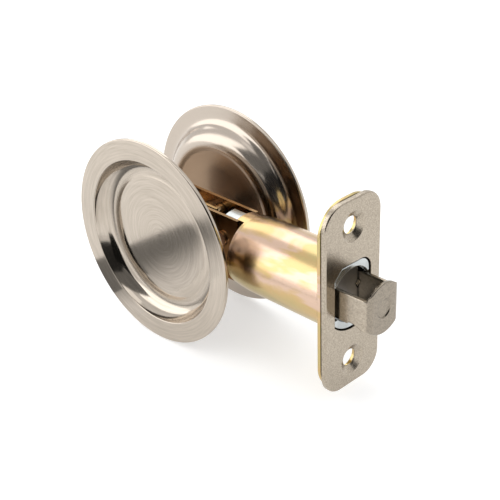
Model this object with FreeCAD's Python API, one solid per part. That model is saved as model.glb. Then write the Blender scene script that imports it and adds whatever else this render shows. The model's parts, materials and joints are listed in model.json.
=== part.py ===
import FreeCAD, Part
import math
import os

# Round latch set of a sliding pocket door, with a sprung edge pull. All sizes are in millimetres.
# X runs along the latch tube towards the faceplate, Y from the near cup to the far cup, Z up.
# The origin is the point where the axis of the two cups crosses the axis of the tube.

Vector = FreeCAD.Vector
X_AXIS = Vector(1, 0, 0)
Y_AXIS = Vector(0, 1, 0)

# Finger cups: one pressing of sheet, turned about Y
cups_overall = 34.8          # outer face of one cup to outer face of the other
cup_radius = 31.75
cup_sheet = 1.3
cup_rim_round = 0.35
recess_radius = 25.4
recess_depth = 5.2           # at the ring where the wall meets the floor
cove_width = 4.2             # the wall, from the recess edge in to the ring
cove_bulge = 1.0             # how far the wall's arc stands off its chord
floor_edge_width = 4.7       # the pillowed edge of the floor, inside the ring
floor_rise = 1.0             # the flat floor stands this much higher than the ring

# Post that draws the two cups together
sleeve_radius = 4.0
sleeve_reach = 5.5           # how far past the middle the sleeve goes
sleeve_bore_depth = 12.5
sleeve_foot_radius = 7.0
stud_radius = 2.5
stud_foot_radius = 3.3
stud_reach = 4.5             # how far past the middle the stud goes
foot_thickness = 1.0
thread_clearance = 0.1
post_clearance = 0.2         # the sleeve in the holes of the fork

# Faceplate and the plate behind it
faceplate_front = 62.9
faceplate_height = 57.15
faceplate_thickness = 1.6
faceplate_corner = 6.35
faceplate_edge_round = 0.45
screw_spacing = 41.3
screw_hole_radius = 2.5
countersink_radius = 4.55
countersink_depth = 1.25
window_half_width = 7.35
window_top = 9.8
window_bottom_radius = 10.4
window_near_chamfer = 2.9
window_far_corner = 4.0
plate_gap = 0.3
backing_thickness = 1.1
backing_corner = 9.0
backing_hole_radius = 2.8
backing_edge_round = 0.3

# Latch tube
tube_radius = 11.1
tube_wall = 0.9
tube_rear = 25.3
tube_narrowing = 0.5
tube_narrow_length = 7.7
tube_rim_length = 1.0
tube_rim_step = 0.1
tube_tongue_length = 2.7
tube_tongue_half_width = 3.1
tube_tab_half_width = 2.5    # tabs at the front end, staked through the backing plate
tube_seat_depth = 0.4        # recess in the back of the backing plate, where the tube's end sits
tube_fit = 0.05

# Die cast guide in the front end of the tube
guide_length = 10.9
guide_hole_radius = 7.6
guide_hole_half_width = 6.6
leg_clearance = 0.3          # above and below the legs in the guide

# Edge pull, folded from one strap
pull_travel = 10.7           # it stands this far out of the faceplate when it is out
pull_half_width = 6.4
pull_sheet = 1.2
pull_bend_radius = 2.0
pull_end_radius = 7.6
strap_top = 4.3
strap_bottom = 4.8
strap_notch_depth = 0.6
strap_notch_front = 5.2      # from the end face back to the notch
strap_notch_length = 1.7
strap_flare = 0.3
strap_length = 22.4
dimple_radius = 2.9
dimple_depth = 0.2

# Carrier that the pull's two legs are staked to
carrier_setback = 13.4       # from the pull's end face
carrier_length = 10.0
carrier_radius = 7.4
collar_thickness = 1.2
collar_clearance = 0.2       # the collar in the tube
end_play = 0.2               # the collar behind the guide
stake_depth = 1.2
stake_length = 1.5
stake_low = 1.5
stake_high = 2.3
stake_clearance = 0.15
slot_clearance = 0.1
tail_pin_radius = 1.0
tail_pin_setback = 7.0       # from the carrier's front

# Tail that the catch lever rides on
tail_half_thickness = 0.8
tail_rear = 27.0
tail_tang = 5.0              # how far it goes into the carrier
tail_bottom = -4.5
tail_heel = -0.6             # height of the ramp's low end
ramp_length = 13.0
ramp_rise = 2.0
catch_notch_length = 3.0
catch_notch_depth = 1.4

# Fork of two flat arms between the cups
arm_inner_gap = 6.5
arm_sheet = 1.0
arm_rear = -13.0
arm_front = 23.6
arm_inset = 1.0              # the arms' edges lie this far inside the tube's outer radius
arm_corner = 4.0
tongue_clearance = 0.5194    # the tongues' corners inside the drawn in tube
tab_half_height = 3.5
tab_stake = 0.6              # how far the staked tabs stand past the plug
hub_plate_sheet = 0.9
hub_plate_gap = 0.5
hub_plate_front = 13.5
rivet_shaft_radius = 1.5
rivet_collar_radius = 2.3
rivet_head_radius = 2.5
rivet_head_height = 0.8
rivet_rear_x = -9.0
rivet_front_x = 9.5
rivet_height = 6.0
rivet_clearance = 0.03

# Die cast plug in the rear end of the tube, with an arched lug between the arms
plug_rear = 29.9
plug_thickness = 2.5
plug_clearance = 0.12
lug_near_side = -3.1
lug_far_side = 0.8
lug_rear = 17.6
lug_thickness = 0.7
lug_pad_length = 4.7
lug_pad_rise = 0.7
tail_slot_clearance = 0.25

# Catch lever and its pin
pivot_x = 16.9
pivot_z = 2.6
pivot_radius = 1.2
pivot_head_radius = 2.2
lever_half_thickness = 0.7
lever_eye_radius = 2.4
lever_shank_half = 1.9       # half the lever's height where it leaves the eye
lever_nose_radius = 0.6
lever_nose_x = 28.4
lever_clearance = 0.25       # nose above the ramp
lever_running_clearance = 0.05

# Springs
return_wire_radius = 0.35
return_coil_radius = 6.3
return_turns = 6
wire_sides = 6
spring_seat_gap = 0.05
leaf_thickness = 0.35
leaf_half_width = 0.75
leaf_drop_x = 24.2
leaf_bend_run = 2.5
leaf_foot_length = 1.5

# Places that follow from the sizes above
cup_face = cups_overall / 2
ring_radius = recess_radius - cove_width
floor_radius = ring_radius - floor_edge_width
floor_depth = recess_depth - floor_rise
floor_back = cup_face - floor_depth - cup_sheet
faceplate_width = 2 * tube_radius
faceplate_back = faceplate_front - faceplate_thickness
backing_front = faceplate_back - plate_gap
backing_back = backing_front - backing_thickness
tube_inner = tube_radius - tube_wall
tube_front = backing_back + tube_seat_depth
tube_narrow_radius = tube_radius - tube_narrowing
tube_narrow_inner = tube_narrow_radius - tube_wall
guide_rear = faceplate_back - guide_length
pull_end = faceplate_front + pull_travel
pull_inner_half = pull_half_width - pull_sheet
carrier_front = pull_end - carrier_setback
carrier_rear = carrier_front - carrier_length
collar_rear = carrier_rear - collar_thickness
collar_radius = tube_inner - collar_clearance
tail_pin_x = carrier_front - tail_pin_setback
tail_front = carrier_rear + tail_tang
ramp_top = tail_heel + ramp_rise
arm_inner = arm_inner_gap / 2
arm_outer = arm_inner + arm_sheet
arm_half_height = tube_radius - arm_inset
tongue_half_height = math.sqrt(tube_narrow_inner ** 2 - arm_outer ** 2) - tongue_clearance
hub_plate_outer = arm_inner - hub_plate_gap
hub_plate_inner = hub_plate_outer - hub_plate_sheet
plug_front = plug_rear + plug_thickness
plug_radius = tube_inner - tube_narrowing / 2 - plug_clearance
tongue_front = plug_front + tab_stake


def box(low, high):
    """Block between two opposite corners."""
    size = high.sub(low)
    return Part.makeBox(size.x, size.y, size.z, low)


def rod(radius, start, end):
    """Round rod between two points."""
    run = end.sub(start)
    return Part.makeCylinder(radius, run.Length, start, run)


def plate(outline, low, high, axis):
    """Flat plate of a closed outline of edges, from low to high along an axis."""
    face = Part.Face(Part.Wire(outline))
    face.translate(Vector(axis).multiply(low))
    return face.extrude(Vector(axis).multiply(high - low))


def polygon(points):
    """Straight edges through the points and back to the first."""
    return [Part.makeLine(a, b) for a, b in zip(points, points[1:] + points[:1])]


def side_outline(pairs):
    """Closed outline of (x, z) pairs in the plane of the tube's axis."""
    return polygon([Vector(x, 0, z) for x, z in pairs])


def arc(start, end, centre, radius):
    """Short arc from start to end round a centre."""
    chord_middle = start.add(end).multiply(0.5)
    outwards = chord_middle.sub(centre).normalize()
    return Part.Arc(start, centre.add(outwards.multiply(radius)), end).toShape()


def circles_meet(first, first_radius, second, second_radius, side):
    """Point where two circles in the XY plane cross, on the left (1) or right (-1) of the centre line."""
    run = second.sub(first)
    span = run.Length
    along = (first_radius ** 2 - second_radius ** 2 + span ** 2) / (2 * span)
    across = math.sqrt(first_radius ** 2 - along ** 2)
    forward = Vector(run).normalize()
    left = Vector(-forward.y, forward.x, 0)
    return first.add(Vector(forward).multiply(along)).add(left.multiply(side * across))


def rounded_corners(width, height, radius, x):
    """Outline of a rounded rectangle centred on the X axis, in the plane at x."""
    half_w = width / 2
    half_h = height / 2
    edges = []
    corners = [(1, 1), (-1, 1), (-1, -1), (1, -1)]
    for index, (sy, sz) in enumerate(corners):
        centre = Vector(x, sy * (half_w - radius), sz * (half_h - radius))
        side = Vector(x, sy * half_w, centre.z)
        top = Vector(x, centre.y, sz * half_h)
        start, end = (side, top) if index % 2 == 0 else (top, side)
        if edges:
            edges.append(Part.makeLine(edges[-1].lastVertex(True).Point, start))
        edges.append(arc(start, end, centre, radius))
    edges.append(Part.makeLine(edges[-1].lastVertex(True).Point, edges[0].firstVertex(True).Point))
    return edges


def cup():
    """Near cup: flange, coved wall, ring, pillowed floor edge and flat floor, one sheet thick."""
    def at(radius, depth):
        return Vector(radius, depth - cup_face, 0)

    edge_radius = (floor_edge_width ** 2 + floor_rise ** 2) / (2 * floor_rise)
    edge_centre = at(floor_radius, floor_depth + edge_radius)
    chord = math.hypot(cove_width, recess_depth)
    cove_radius = (chord ** 2 / 4 + cove_bulge ** 2) / (2 * cove_bulge)
    towards_wall = Vector(recess_depth, cove_width, 0).normalize()
    chord_middle = at(recess_radius - cove_width / 2, recess_depth / 2)
    cove_centre = chord_middle.sub(Vector(towards_wall).multiply(cove_radius - cove_bulge))

    recess_edge = at(recess_radius, 0)
    ring = at(ring_radius, recess_depth)
    floor_edge = at(floor_radius, floor_depth)
    rim_centre = at(cup_radius - cup_rim_round, cup_rim_round)
    rim_face = at(cup_radius - cup_rim_round, 0)
    rim_side = at(cup_radius, cup_rim_round)
    rim_back = at(cup_radius, cup_sheet)

    back_radius = cove_radius + cup_sheet
    rise = rim_back.y - cove_centre.y
    crease_x = cove_centre.x + math.sqrt(back_radius ** 2 - rise ** 2)
    crease = Vector(crease_x, rim_back.y, 0)
    back_ring = circles_meet(cove_centre, back_radius, edge_centre, edge_radius - cup_sheet, -1)
    back_floor_edge = at(floor_radius, floor_depth + cup_sheet)

    edges = [
        Part.makeLine(at(0, floor_depth), floor_edge),
        arc(floor_edge, ring, edge_centre, edge_radius),
        arc(ring, recess_edge, cove_centre, cove_radius),
        Part.makeLine(recess_edge, rim_face),
        arc(rim_face, rim_side, rim_centre, cup_rim_round),
        Part.makeLine(rim_side, rim_back),
        Part.makeLine(rim_back, crease),
        arc(crease, back_ring, cove_centre, back_radius),
        arc(back_ring, back_floor_edge, edge_centre, edge_radius - cup_sheet),
        Part.makeLine(back_floor_edge, at(0, floor_depth + cup_sheet)),
        Part.makeLine(at(0, floor_depth + cup_sheet), at(0, floor_depth)),
    ]
    return Part.Face(Part.Wire(edges)).revolve(Vector(0, 0, 0), Y_AXIS, 360)


def near_sleeve():
    """Tapped sleeve on the back of the near cup, with its welded foot."""
    start = Vector(0, -floor_back, 0)
    end = Vector(0, sleeve_reach, 0)
    foot_end = Vector(0, -floor_back + foot_thickness, 0)
    body = rod(sleeve_radius, start, end).fuse(rod(sleeve_foot_radius, start, foot_end))
    bore_start = Vector(0, sleeve_reach - sleeve_bore_depth, 0)
    return body.cut(rod(stud_radius + thread_clearance, bore_start, end)).removeSplitter()


def far_stud():
    """Threaded stud on the back of the far cup, with its small welded collar."""
    start = Vector(0, floor_back, 0)
    end = Vector(0, -stud_reach, 0)
    foot_end = Vector(0, floor_back - foot_thickness, 0)
    return rod(stud_radius, start, end).fuse(rod(stud_foot_radius, start, foot_end)).removeSplitter()


def window_outline(x):
    """Opening of the faceplate: round bottom, flat sides and top, one chamfer and one round corner."""
    side = window_half_width
    low = -math.sqrt(window_bottom_radius ** 2 - side ** 2)
    near_low = Vector(x, -side, low)
    near_high = Vector(x, -side, window_top - window_near_chamfer)
    near_top = Vector(x, -side + window_near_chamfer, window_top)
    far_top = Vector(x, side - window_far_corner, window_top)
    far_high = Vector(x, side, window_top - window_far_corner)
    far_low = Vector(x, side, low)
    corner_centre = Vector(x, side - window_far_corner, window_top - window_far_corner)
    return [
        Part.makeLine(near_low, near_high),
        Part.makeLine(near_high, near_top),
        Part.makeLine(near_top, far_top),
        arc(far_top, far_high, corner_centre, window_far_corner),
        Part.makeLine(far_high, far_low),
        Part.Arc(far_low, Vector(x, 0, -window_bottom_radius), near_low).toShape(),
    ]


def round_front_edges(solid, x, radius):
    """Round the outer edges of a plate's front face at x."""
    height = solid.BoundBox.ZMax
    width = solid.BoundBox.YMax
    inner = min(width, height) / 2
    picked = []
    for edge in solid.Edges:
        bounds = edge.BoundBox
        flat = abs(bounds.XMin - x) < 1e-6 and abs(bounds.XMax - x) < 1e-6
        reach = max(abs(bounds.YMin), abs(bounds.YMax), abs(bounds.ZMin), abs(bounds.ZMax))
        outside = math.hypot(edge.CenterOfMass.y, edge.CenterOfMass.z) > inner
        if flat and outside and reach > width - 1e-6:
            picked.append(edge)
    return solid.makeFillet(radius, picked)


def screw_points(x):
    return [Vector(x, 0, side * screw_spacing / 2) for side in (-1, 1)]


def faceplate():
    outline = rounded_corners(faceplate_width, faceplate_height, faceplate_corner, 0)
    solid = plate(outline, faceplate_back, faceplate_front, X_AXIS)
    solid = round_front_edges(solid, faceplate_front, faceplate_edge_round)
    solid = solid.cut(plate(window_outline(0), faceplate_back - 1, faceplate_front + 1, X_AXIS))
    for point in screw_points(faceplate_back):
        hole = rod(screw_hole_radius, point, point.add(X_AXIS * faceplate_thickness))
        cone_start = point.add(X_AXIS * (faceplate_thickness - countersink_depth))
        sink = Part.makeCone(screw_hole_radius, countersink_radius, countersink_depth, cone_start, X_AXIS)
        solid = solid.cut(hole).cut(sink)
    return solid


def backing_plate():
    outline = rounded_corners(faceplate_width, faceplate_height, backing_corner, 0)
    solid = plate(outline, backing_back, backing_front, X_AXIS)
    solid = round_front_edges(solid, backing_front, backing_edge_round)
    middle = Vector(backing_back, 0, 0)
    solid = solid.cut(rod(tube_inner, middle, middle.add(X_AXIS * backing_thickness)))
    solid = solid.cut(rod(tube_radius + tube_fit, middle, Vector(tube_front, 0, 0)))
    for slot in tube_tabs(tube_fit):
        solid = solid.cut(slot)
    for point in screw_points(backing_back):
        solid = solid.cut(rod(backing_hole_radius, point, point.add(X_AXIS * backing_thickness)))
    return solid


def tube_tabs(grow):
    """Two tabs that carry on the tube's wall through the backing plate, grown by a clearance."""
    half = tube_tab_half_width + grow
    reach = tube_radius + 1
    outer = rod(tube_radius + grow, Vector(tube_front, 0, 0), Vector(backing_front, 0, 0))
    wall = outer.cut(rod(tube_inner, Vector(tube_front, 0, 0), Vector(backing_front, 0, 0)))
    spans = [(0, reach), (-reach, 0)]
    return [wall.common(box(Vector(tube_front, -half, low), Vector(backing_front, half, high)))
            for low, high in spans]


def tube_profile(outer, narrowed, step, low_x):
    """Half section of a solid tube core in the XY plane, drawn in towards its rear end."""
    shoulder_x = tube_rear + tube_narrow_length
    rim_x = tube_rear + tube_rim_length
    sag = outer - narrowed
    run = shoulder_x - rim_x
    bend = (run ** 2 + sag ** 2) / (2 * sag)
    shoulder = Vector(shoulder_x, outer, 0)
    neck = Vector(rim_x, narrowed, 0)
    rim = Vector(rim_x, narrowed - step, 0)
    rear = Vector(low_x, narrowed - step, 0)
    edges = [
        Part.makeLine(Vector(tube_front, 0, 0), Vector(tube_front, outer, 0)),
        Part.makeLine(Vector(tube_front, outer, 0), shoulder),
        arc(shoulder, neck, Vector(shoulder_x, outer - bend, 0), bend),
    ]
    if step > 0:
        edges.append(Part.makeLine(neck, rim))
    edges.append(Part.makeLine(rim, rear))
    edges.append(Part.makeLine(rear, Vector(low_x, 0, 0)))
    edges.append(Part.makeLine(Vector(low_x, 0, 0), Vector(tube_front, 0, 0)))
    return Part.Face(Part.Wire(edges)).revolve(Vector(0, 0, 0), X_AXIS, 360)


def latch_tube():
    """Tube with a drawn in rear end and a tongue that reaches back between the arms."""
    tongue_rear = tube_rear - tube_tongue_length
    outer = tube_profile(tube_radius, tube_narrow_radius, tube_rim_step, tongue_rear)
    inner = tube_profile(tube_inner, tube_narrow_inner, 0, tongue_rear)
    reach = tube_radius + 1
    half = tube_tongue_half_width
    away = box(Vector(tongue_rear - 1, -reach, -reach), Vector(tube_rear, reach, reach))
    kept = box(Vector(tongue_rear - 1, -half, 0), Vector(tube_rear, half, reach))
    wall = outer.cut(inner).cut(away.cut(kept))
    return wall.multiFuse(tube_tabs(0)).removeSplitter()


def double_d(radius, half_width, low_x, high_x):
    """Round bar along X with two flats that face the cups."""
    bar = rod(radius, Vector(low_x, 0, 0), Vector(high_x, 0, 0))
    flats = box(Vector(low_x, -half_width, -radius), Vector(high_x, half_width, radius))
    return bar.common(flats)


def front_guide():
    """Guide in the mouth of the tube, with a round hole flattened and cornered to suit the pull."""
    body = rod(tube_inner - tube_fit, Vector(guide_rear, 0, 0), Vector(faceplate_back, 0, 0))
    hole = double_d(guide_hole_radius, guide_hole_half_width, guide_rear - 1, faceplate_back + 1)
    leg_low = Vector(guide_rear - 1, -guide_hole_half_width, -strap_bottom - strap_flare - leg_clearance)
    leg_high = Vector(faceplate_back + 1, guide_hole_half_width, strap_top + leg_clearance)
    return body.cut(hole.fuse(box(leg_low, leg_high)))


def stake_wedge(side, grow):
    """V shaped stake across one leg's inner face at the carrier's front, grown by a clearance."""
    depth = stake_depth - stake_clearance + grow
    middle = (stake_high - stake_low) / 2
    top = stake_high - stake_clearance + grow
    bottom = -stake_low + stake_clearance - grow
    back = carrier_front - stake_length + stake_clearance - grow
    face = side * pull_inner_half
    tip = side * (pull_inner_half - depth)
    points = [Vector(carrier_front, face, top), Vector(back, face, middle), Vector(carrier_front, face, bottom)]
    base = Part.Wire(polygon(points))
    peak = Vector(carrier_front, tip, middle)
    faces = [Part.Face(base)]
    for a, b in zip(points, points[1:] + points[:1]):
        faces.append(Part.Face(Part.makePolygon([a, b, peak, a])))
    return Part.makeSolid(Part.makeShell(faces))


def strap_side():
    """Side outline of the pull's legs, with the notch and the flare at the lower front corner."""
    rear = pull_end - strap_length
    notch_front = pull_end - strap_notch_front
    notch_rear = notch_front - strap_notch_length
    bend_start = pull_end - pull_bend_radius
    low = -strap_bottom
    notch = low + strap_notch_depth
    return side_outline([
        (rear, strap_top), (rear, low), (notch_rear - strap_notch_depth, low), (notch_rear, notch),
        (notch_front, notch), (bend_start - strap_notch_depth, low - strap_flare),
        (pull_end, low - strap_flare), (pull_end, strap_top),
    ])


def edge_pull():
    """Finger pull: two legs and a round end plate with a plain dimple, folded from one strap."""
    rear = pull_end - strap_length
    reach = pull_end_radius + 1

    def u_core(half, radius, front):
        block = box(Vector(rear, -half, -reach), Vector(front, half, reach))
        corners = [edge for edge in block.Edges
                   if abs(edge.BoundBox.XMin - front) < 1e-6 and edge.BoundBox.ZLength > reach]
        return block.makeFillet(radius, corners)

    inner_front = pull_end - pull_sheet
    outer = u_core(pull_half_width, pull_bend_radius, pull_end)
    inner = u_core(pull_inner_half, pull_bend_radius - pull_sheet, inner_front)
    folded = outer.cut(inner)
    legs = plate(strap_side(), -reach, reach, Y_AXIS)
    disc = rod(pull_end_radius, Vector(pull_end - pull_sheet, 0, 0), Vector(pull_end, 0, 0))
    shape = folded.common(legs.fuse(disc))
    dimple_start = Vector(pull_end - dimple_depth, 0, 0)
    shape = shape.cut(rod(dimple_radius, dimple_start, Vector(pull_end, 0, 0)))
    for side in (-1, 1):
        shape = shape.fuse(stake_wedge(side, 0))
    return shape.removeSplitter()


def pull_carrier():
    """Sliding block with flats for the pull's legs, a stop collar, and a slot for the tail."""
    body = double_d(carrier_radius, pull_inner_half, carrier_rear, carrier_front)
    collar = rod(collar_radius, Vector(collar_rear, 0, 0), Vector(carrier_rear, 0, 0))
    body = body.fuse(collar)
    half = tail_half_thickness + slot_clearance
    slot_low = Vector(collar_rear, -half, tail_bottom - slot_clearance)
    slot_high = Vector(tail_front + slot_clearance, half, ramp_top + slot_clearance)
    body = body.cut(box(slot_low, slot_high))
    pin_low = Vector(tail_pin_x, -pull_inner_half, 0)
    pin_high = Vector(tail_pin_x, pull_inner_half, 0)
    body = body.cut(rod(tail_pin_radius, pin_low, pin_high))
    for side in (-1, 1):
        body = body.cut(stake_wedge(side, stake_clearance))
    return body.removeSplitter()


def slide_tail():
    """Flat tail behind the carrier, with the ramp that lifts the catch lever and the notch it drops in."""
    ramp_end = tail_rear + ramp_length
    notch_end = ramp_end + catch_notch_length
    outline = side_outline([
        (tail_rear, tail_bottom), (tail_front, tail_bottom), (tail_front, ramp_top),
        (notch_end, ramp_top), (notch_end, ramp_top - catch_notch_depth),
        (ramp_end, ramp_top - catch_notch_depth), (ramp_end, ramp_top), (tail_rear, tail_heel),
    ])
    solid = plate(outline, -tail_half_thickness, tail_half_thickness, Y_AXIS)
    hole_low = Vector(tail_pin_x, -tail_half_thickness, 0)
    hole_high = Vector(tail_pin_x, tail_half_thickness, 0)
    return solid.cut(rod(tail_pin_radius, hole_low, hole_high))


def tail_pin():
    return rod(tail_pin_radius, Vector(tail_pin_x, -pull_inner_half, 0), Vector(tail_pin_x, pull_inner_half, 0))


def rivet_points():
    return [(x, side * rivet_height) for x in (rivet_rear_x, rivet_front_x) for side in (-1, 1)]


def through_holes(solid, low_y, high_y, holes):
    """Cut round holes along Y, each given as (x, z, radius)."""
    for x, z, radius in holes:
        solid = solid.cut(rod(radius, Vector(x, low_y, z), Vector(x, high_y, z)))
    return solid


def round_rear_corners(solid, x, radius):
    corners = [edge for edge in solid.Edges
               if abs(edge.BoundBox.XMin - x) < 1e-6 and abs(edge.BoundBox.XMax - x) < 1e-6
               and edge.BoundBox.ZLength < 1e-6]
    return solid.makeFillet(radius, corners)


def fork_arm(side):
    """Flat arm between the cups, with a stepped tongue that is staked through the rear plug."""
    high = arm_half_height
    tongue = tongue_half_height
    tab = tab_half_height
    outline = side_outline([
        (arm_rear, -high), (arm_front, -high), (arm_front, -tongue), (plug_rear, -tongue),
        (plug_rear, -tab), (tongue_front, -tab), (tongue_front, tab), (plug_rear, tab),
        (plug_rear, tongue), (arm_front, tongue), (arm_front, high), (arm_rear, high),
    ])
    low_y, high_y = sorted((side * arm_inner, side * arm_outer))
    solid = round_rear_corners(plate(outline, low_y, high_y, Y_AXIS), arm_rear, arm_corner)
    holes = [(x, z, rivet_shaft_radius + rivet_clearance) for x, z in rivet_points()]
    holes.append((0, 0, sleeve_radius + post_clearance))
    holes.append((pivot_x, pivot_z, pivot_radius + rivet_clearance))
    return through_holes(solid, low_y, high_y, holes)


def hub_plate():
    """Shorter plate inside the near arm, carried on the rivets' collars."""
    high = arm_half_height
    outline = side_outline([(arm_rear, -high), (hub_plate_front, -high), (hub_plate_front, high), (arm_rear, high)])
    solid = plate(outline, -hub_plate_outer, -hub_plate_inner, Y_AXIS)
    solid = round_rear_corners(solid, arm_rear, arm_corner)
    holes = [(x, z, rivet_shaft_radius + rivet_clearance) for x, z in rivet_points()]
    holes.append((0, 0, sleeve_radius + post_clearance))
    return through_holes(solid, -hub_plate_outer, -hub_plate_inner, holes)


def fork_rivets():
    """Four shouldered rivets: heads outside the arms, collars that space the arms and the hub plate."""
    rivets = []
    for x, z in rivet_points():
        def stretch(radius, low_y, high_y):
            return rod(radius, Vector(x, low_y, z), Vector(x, high_y, z))

        shaft = stretch(rivet_shaft_radius, -arm_outer, arm_outer)
        heads = [stretch(rivet_head_radius, arm_outer, arm_outer + rivet_head_height),
                 stretch(rivet_head_radius, -arm_outer - rivet_head_height, -arm_outer)]
        collars = [stretch(rivet_collar_radius, -arm_inner, -hub_plate_outer),
                   stretch(rivet_collar_radius, -hub_plate_inner, arm_inner)]
        rivets.append(shaft.multiFuse(heads + collars).removeSplitter())
    return Part.makeCompound(rivets)


def catch_pin():
    """Headed pin through both arms that the catch lever turns on."""
    shaft = rod(pivot_radius, Vector(pivot_x, -arm_outer, pivot_z), Vector(pivot_x, arm_outer, pivot_z))
    for side in (-1, 1):
        start = Vector(pivot_x, side * arm_outer, pivot_z)
        end = Vector(pivot_x, side * (arm_outer + rivet_head_height), pivot_z)
        shaft = shaft.fuse(rod(pivot_head_radius, start, end))
    return shaft.removeSplitter()


def arched(inner_radius, outer_radius, low_x, high_x):
    """Strip between two radii about the tube's axis, over the lug's width and above the axis."""
    ring = rod(outer_radius, Vector(low_x, 0, 0), Vector(high_x, 0, 0))
    ring = ring.cut(rod(inner_radius, Vector(low_x, 0, 0), Vector(high_x, 0, 0)))
    return ring.common(box(Vector(low_x, lug_near_side, 0), Vector(high_x, lug_far_side, outer_radius)))


def rear_plug():
    """Plug in the drawn in end of the tube, slotted for the tabs and the tail, with its arched lug."""
    disc = rod(plug_radius, Vector(plug_rear, 0, 0), Vector(plug_front, 0, 0))
    lug_outer = tube_narrow_inner - plug_clearance
    strip = arched(lug_outer - lug_thickness, lug_outer, lug_rear, plug_rear)
    pad = arched(lug_outer - lug_thickness, lug_outer + lug_pad_rise, lug_rear, lug_rear + lug_pad_length)
    solid = disc.fuse(strip).fuse(pad)
    for side in (-1, 1):
        low_y, high_y = sorted((side * arm_inner, side * arm_outer))
        low = Vector(plug_rear, low_y - rivet_clearance, -tab_half_height - rivet_clearance)
        high = Vector(plug_front, high_y + rivet_clearance, tab_half_height + rivet_clearance)
        solid = solid.cut(box(low, high))
    half = tail_half_thickness + tail_slot_clearance
    low = Vector(plug_rear, -half, tail_bottom - tail_slot_clearance)
    high = Vector(plug_front, half, ramp_top + tail_slot_clearance)
    return solid.cut(box(low, high)).removeSplitter()


def lever_nose():
    """Centre of the nose, just clear of the ramp with the pull out."""
    slope = math.atan2(ramp_rise, ramp_length)
    ramp_height = tail_heel + (lever_nose_x - tail_rear) * math.tan(slope)
    return Vector(lever_nose_x, 0, ramp_height + (lever_nose_radius + lever_clearance) / math.cos(slope))


def catch_lever():
    """Lever with an eye on the pin and a round nose over the ramp of the tail."""
    half = lever_half_thickness
    nose = lever_nose()
    eye = Vector(pivot_x, 0, pivot_z)
    run = nose.sub(eye).normalize()
    across = Vector(-run.z, 0, run.x)
    shank = Vector(across).multiply(lever_shank_half)
    tip = Vector(across).multiply(lever_nose_radius)
    corners = [eye.add(shank), nose.add(tip), nose.sub(tip), eye.sub(shank)]
    arm = plate(polygon(corners), -half, half, Y_AXIS)
    ends = [rod(radius, Vector(point.x, -half, point.z), Vector(point.x, half, point.z))
            for point, radius in ((eye, lever_eye_radius), (nose, lever_nose_radius))]
    solid = arm.multiFuse(ends).removeSplitter()
    return through_holes(solid, -half, half, [(pivot_x, pivot_z, pivot_radius + lever_running_clearance)])


def catch_spring():
    """Leaf under the plug's lug that presses the lever down on the tail."""
    lug_inner = tube_narrow_inner - plug_clearance - lug_thickness
    top = math.sqrt(lug_inner ** 2 - leaf_half_width ** 2) - spring_seat_gap
    rear = plug_rear - spring_seat_gap
    nose = lever_nose()
    share = (leaf_drop_x - pivot_x) / (nose.x - pivot_x)
    half = lever_shank_half + (lever_nose_radius - lever_shank_half) * share
    back = pivot_z + (nose.z - pivot_z) * share + half
    foot = back + spring_seat_gap
    bend = leaf_drop_x - leaf_bend_run
    outline = side_outline([
        (rear, top), (bend, top), (leaf_drop_x, foot), (leaf_drop_x + leaf_foot_length, foot),
        (leaf_drop_x + leaf_foot_length, foot + leaf_thickness), (leaf_drop_x + leaf_thickness, foot + leaf_thickness),
        (bend + leaf_thickness, top - leaf_thickness), (rear, top - leaf_thickness),
    ])
    return plate(outline, -leaf_half_width, leaf_half_width, Y_AXIS)


def wire_section(centre):
    """Six sided face across the spring's wire, in the plane of the X and Y axes."""
    points = []
    for step in range(wire_sides):
        angle = 2 * math.pi * step / wire_sides
        offset = Vector(math.cos(angle), math.sin(angle), 0)
        points.append(centre.add(offset.multiply(return_wire_radius)))
    return Part.Face(Part.Wire(polygon(points)))


def return_spring():
    """Coil spring round the tail: each half turn is flat, and the half turns are tilted to and fro."""
    start = plug_front + spring_seat_gap + return_wire_radius
    end = collar_rear - spring_seat_gap - return_wire_radius
    half_turns = 2 * return_turns
    half_pitch = (end - start) / half_turns
    section = wire_section(Vector(start, return_coil_radius, 0))
    faces = [section]
    for index in range(half_turns):
        side = 1 if index % 2 == 0 else -1
        middle = Vector(start + (index + 0.5) * half_pitch, 0, 0)
        normal = Vector(2 * return_coil_radius, side * half_pitch, 0).normalize()
        half_turn = section.revolve(middle, normal, 180)
        faces += [face for face in half_turn.Faces if face.BoundBox.ZLength > return_coil_radius / 2]
        section = section.copy()
        section.rotate(middle, normal, 180)
    shell = Part.makeShell(faces + [section])
    shell.sewShape()
    return Part.makeSolid(shell)


pieces = {
    "near_cup": cup(),
    "far_cup": cup().mirror(Vector(0, 0, 0), Y_AXIS),
    "near_sleeve": near_sleeve(),
    "far_stud": far_stud(),
    "faceplate": faceplate(),
    "backing_plate": backing_plate(),
    "latch_tube": latch_tube(),
    "front_guide": front_guide(),
    "rear_plug": rear_plug(),
    "near_arm": fork_arm(-1),
    "far_arm": fork_arm(1),
    "hub_plate": hub_plate(),
    "fork_rivets": fork_rivets(),
    "catch_pin": catch_pin(),
    "catch_lever": catch_lever(),
    "catch_spring": catch_spring(),
    "edge_pull": edge_pull(),
    "pull_carrier": pull_carrier(),
    "slide_tail": slide_tail(),
    "tail_pin": tail_pin(),
    "return_spring": return_spring(),
}

os.makedirs("parts", exist_ok=True)
for name, shape in pieces.items():
    shape.exportStep("parts/" + name + ".step")
    print(name, shape.isValid(), len(shape.Solids), round(shape.Volume, 2), shape.BoundBox)
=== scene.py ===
"""Dresses the frame of a round pocket door latch set: finger cups, latch tube, faceplate and edge pull."""

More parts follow.
